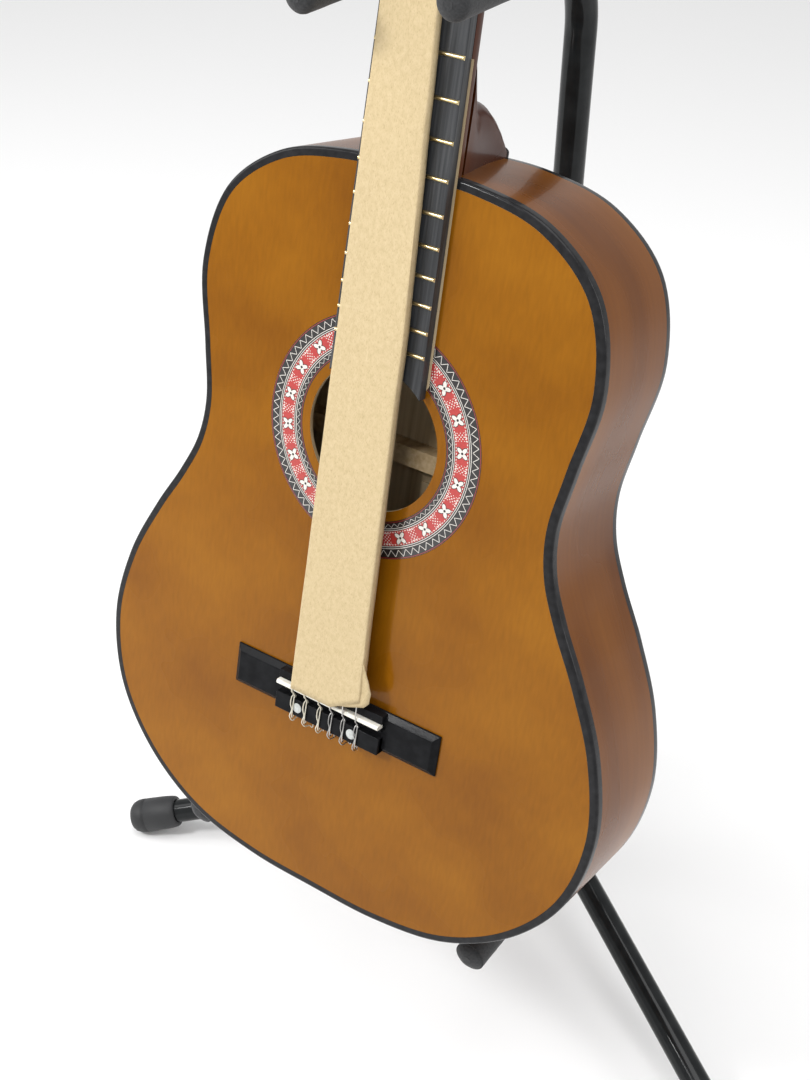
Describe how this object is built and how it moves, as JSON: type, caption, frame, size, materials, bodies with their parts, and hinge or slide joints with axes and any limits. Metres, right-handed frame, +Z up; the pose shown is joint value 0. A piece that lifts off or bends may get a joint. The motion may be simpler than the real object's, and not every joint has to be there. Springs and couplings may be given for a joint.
{
  "type": "guitar on stand",
  "caption": "Classical guitar leaning on a folding tubular tripod stand with a neck yoke and padded lower arms; a card sleeve still covers its strings.",
  "frame": {"origin": "on the floor at the centre of the whole object's bounding box", "axes": "+Z up, +X towards the guitar's treble side, the guitar's front faces -Y and it leans back towards +Y"},
  "size_m": [0.5606, 0.5855, 1.1391],
  "materials": {
    "amber_lacquer": "gloss lacquer",
    "brown_lacquer": "gloss lacquer",
    "black_trim": "gloss",
    "raw_wood": "unfinished",
    "dyed_board": "satin",
    "white_plastic": "gloss",
    "string": "satin",
    "nickel_steel": "satin",
    "kraft_card": "matte",
    "black_steel": "gloss",
    "black_plastic": "satin",
    "black_rubber": "matte"
  },
  "bodies": {
    "stand_base": {"shaft": "black_steel", "boss": "black_plastic", "cradle": "black_steel", "cradle_pad_left": "black_rubber", "cradle_pad_right": "black_rubber", "height_clamp": "black_plastic"},
    "sliding_collar": {"collar": "black_plastic"},
    "collar_screw": {"collar_knob": "black_plastic"},
    "height_screw": {"height_knob": "black_plastic"},
    "mast": {"upper_tube": "black_steel"},
    "neck_yoke": {"yoke": "black_steel", "yoke_grip": "black_rubber"},
    "guitar": {"soundboard": "amber_lacquer", "back_plate": "brown_lacquer", "front_binding": "black_trim", "back_binding": "black_trim", "rim": "brown_lacquer", "neck_block": "raw_wood", "tail_block": "raw_wood", "upper_face_bar": "raw_wood", "lower_face_bar": "raw_wood", "upper_back_bar": "raw_wood", "lower_back_bar": "raw_wood", "rosette": "white_plastic", "neck": "brown_lacquer", "fingerboard": "dyed_board", "nut": "white_plastic", "headstock": "brown_lacquer", "tuner_plate_bass": "nickel_steel", "tuner_plate_treble": "nickel_steel", "bridge": "black_trim", "saddle": "white_plastic", "string_1": "string", "string_2": "string", "string_3": "string", "string_4": "string", "string_5": "string", "string_6": "string"},
    "sleeve": {"card_sleeve": "kraft_card"},
    "link_arm_front_left": {"link_front_left": "black_steel"},
    "leg_arm_front_left": {"leg_front_left": "black_steel", "foot_front_left": "black_rubber"},
    "link_arm_front_right": {"link_front_right": "black_steel"},
    "leg_arm_front_right": {"leg_front_right": "black_steel", "foot_front_right": "black_rubber"},
    "link_arm_rear": {"link_rear": "black_steel"},
    "leg_arm_rear": {"leg_rear": "black_steel", "foot_rear": "black_rubber"},
    "knob_bass_1": {"tuner_knob_bass_1": "white_plastic"},
    "post_bass_1": {"roller_bass_1": "nickel_steel"},
    "knob_bass_2": {"tuner_knob_bass_2": "white_plastic"},
    "post_bass_2": {"roller_bass_2": "nickel_steel"},
    "knob_bass_3": {"tuner_knob_bass_3": "white_plastic"},
    "post_bass_3": {"roller_bass_3": "nickel_steel"},
    "knob_treble_1": {"tuner_knob_treble_1": "white_plastic"},
    "post_treble_1": {"roller_treble_1": "nickel_steel"},
    "knob_treble_2": {"tuner_knob_treble_2": "white_plastic"},
    "post_treble_2": {"roller_treble_2": "nickel_steel"},
    "knob_treble_3": {"tuner_knob_treble_3": "white_plastic"},
    "post_treble_3": {"roller_treble_3": "nickel_steel"}
  },
  "joints": [
    {"name": "link_swing_front_left", "type": "hinge", "parent": "stand_base", "child": "link_arm_front_left", "pos_m": [-0.02338, -0.0342, 0.06767], "axis": [-0.5, 0.866, 0], "range_deg": [0, 63.9]},
    {"name": "leg_swing_front_left", "type": "hinge", "parent": "link_arm_front_left", "child": "leg_arm_front_left", "pos_m": [-0.06499, -0.05822, 0.08154], "axis": [-0.5, 0.866, 0], "range_deg": [-127.8, 0]},
    {"name": "link_swing_front_right", "type": "hinge", "parent": "stand_base", "child": "link_arm_front_right", "pos_m": [0.02338, -0.0342, 0.06767], "axis": [-0.5, -0.866, 0], "range_deg": [0, 63.9]},
    {"name": "leg_swing_front_right", "type": "hinge", "parent": "link_arm_front_right", "child": "leg_arm_front_right", "pos_m": [0.06499, -0.05822, 0.08154], "axis": [-0.5, -0.866, 0], "range_deg": [-127.8, 0]},
    {"name": "link_swing_rear", "type": "hinge", "parent": "stand_base", "child": "link_arm_rear", "pos_m": [-0.00607, 0.00561, 0.06767], "axis": [0.9744, 0.225, 0], "range_deg": [0, 63.9]},
    {"name": "leg_swing_rear", "type": "hinge", "parent": "link_arm_rear", "child": "leg_arm_rear", "pos_m": [-0.01688, 0.05242, 0.08154], "axis": [0.9744, 0.225, 0], "range_deg": [-127.8, 0]},
    {"name": "collar_slide", "type": "slide", "parent": "stand_base", "child": "sliding_collar", "axis": [0, 0, 1], "range_m": [0, 0.0711]},
    {"name": "collar_screw_turn", "type": "hinge", "parent": "sliding_collar", "child": "collar_screw", "pos_m": [0.01083, -0.01445, 0.0994], "axis": [0.866, 0.5, 0], "continuous": true},
    {"name": "height_screw_turn", "type": "hinge", "parent": "stand_base", "child": "height_screw", "pos_m": [0.00918, -0.0154, 0.442], "axis": [0.866, 0.5, 0], "continuous": true},
    {"name": "mast_slide", "type": "slide", "parent": "stand_base", "child": "mast", "axis": [0, 0, 1], "range_m": [-0.035, 0]},
    {"name": "yoke_turn", "type": "hinge", "parent": "mast", "child": "neck_yoke", "pos_m": [0, -0.1161, 0.7494], "axis": [0, 1, 0], "range_deg": [-10, 26]},
    {"name": "guitar_lift", "type": "slide", "parent": "stand_base", "child": "guitar", "axis": [0, -0.9397, 0.342], "range_m": [0, 0.25]},
    {"name": "sleeve_lift", "type": "slide", "parent": "guitar", "child": "sleeve", "axis": [0, -0.9781, 0.2079], "range_m": [0, 0.06]},
    {"name": "knob_turn_bass_1", "type": "hinge", "parent": "guitar", "child": "knob_bass_1", "pos_m": [-0.0376, -0.09918, 1.0388], "axis": [0, -0.9063, 0.4226], "continuous": true},
    {"name": "post_turn_bass_1", "type": "hinge", "parent": "guitar", "child": "post_bass_1", "pos_m": [-0.0361, -0.09453, 1.02747], "axis": [1, 0, 0], "continuous": true},
    {"name": "knob_turn_bass_2", "type": "hinge", "parent": "guitar", "child": "knob_bass_2", "pos_m": [-0.0376, -0.08396, 1.07142], "axis": [0, -0.9063, 0.4226], "continuous": true},
    {"name": "post_turn_bass_2", "type": "hinge", "parent": "guitar", "child": "post_bass_2", "pos_m": [-0.0361, -0.07931, 1.0601], "axis": [1, 0, 0], "continuous": true},
    {"name": "knob_turn_bass_3", "type": "hinge", "parent": "guitar", "child": "knob_bass_3", "pos_m": [-0.0376, -0.06875, 1.10405], "axis": [0, -0.9063, 0.4226], "continuous": true},
    {"name": "post_turn_bass_3", "type": "hinge", "parent": "guitar", "child": "post_bass_3", "pos_m": [-0.0361, -0.0641, 1.09272], "axis": [1, 0, 0], "continuous": true},
    {"name": "knob_turn_treble_1", "type": "hinge", "parent": "guitar", "child": "knob_treble_1", "pos_m": [0.0376, -0.09918, 1.0388], "axis": [0, -0.9063, 0.4226], "continuous": true},
    {"name": "post_turn_treble_1", "type": "hinge", "parent": "guitar", "child": "post_treble_1", "pos_m": [0.0361, -0.09453, 1.02747], "axis": [1, 0, 0], "continuous": true},
    {"name": "knob_turn_treble_2", "type": "hinge", "parent": "guitar", "child": "knob_treble_2", "pos_m": [0.0376, -0.08396, 1.07142], "axis": [0, -0.9063, 0.4226], "continuous": true},
    {"name": "post_turn_treble_2", "type": "hinge", "parent": "guitar", "child": "post_treble_2", "pos_m": [0.0361, -0.07931, 1.0601], "axis": [1, 0, 0], "continuous": true},
    {"name": "knob_turn_treble_3", "type": "hinge", "parent": "guitar", "child": "knob_treble_3", "pos_m": [0.0376, -0.06875, 1.10405], "axis": [0, -0.9063, 0.4226], "continuous": true},
    {"name": "post_turn_treble_3", "type": "hinge", "parent": "guitar", "child": "post_treble_3", "pos_m": [0.0361, -0.0641, 1.09272], "axis": [1, 0, 0], "continuous": true}
  ],
  "couplings": [
    {"joint": "leg_swing_front_left", "follows": "link_swing_front_left", "ratio": -2},
    {"joint": "link_swing_front_right", "follows": "link_swing_front_left", "ratio": 1},
    {"joint": "leg_swing_front_right", "follows": "link_swing_front_left", "ratio": -2},
    {"joint": "link_swing_rear", "follows": "link_swing_front_left", "ratio": 1},
    {"joint": "leg_swing_rear", "follows": "link_swing_front_left", "ratio": -2},
    {"joint": "collar_slide", "follows": "link_swing_front_left", "m_per_rad": 0.06348},
    {"joint": "post_turn_bass_1", "follows": "knob_turn_bass_1", "ratio": 0.07143},
    {"joint": "post_turn_bass_2", "follows": "knob_turn_bass_2", "ratio": 0.07143},
    {"joint": "post_turn_bass_3", "follows": "knob_turn_bass_3", "ratio": 0.07143},
    {"joint": "post_turn_treble_1", "follows": "knob_turn_treble_1", "ratio": -0.07143},
    {"joint": "post_turn_treble_2", "follows": "knob_turn_treble_2", "ratio": -0.07143},
    {"joint": "post_turn_treble_3", "follows": "knob_turn_treble_3", "ratio": -0.07143}
  ]
}
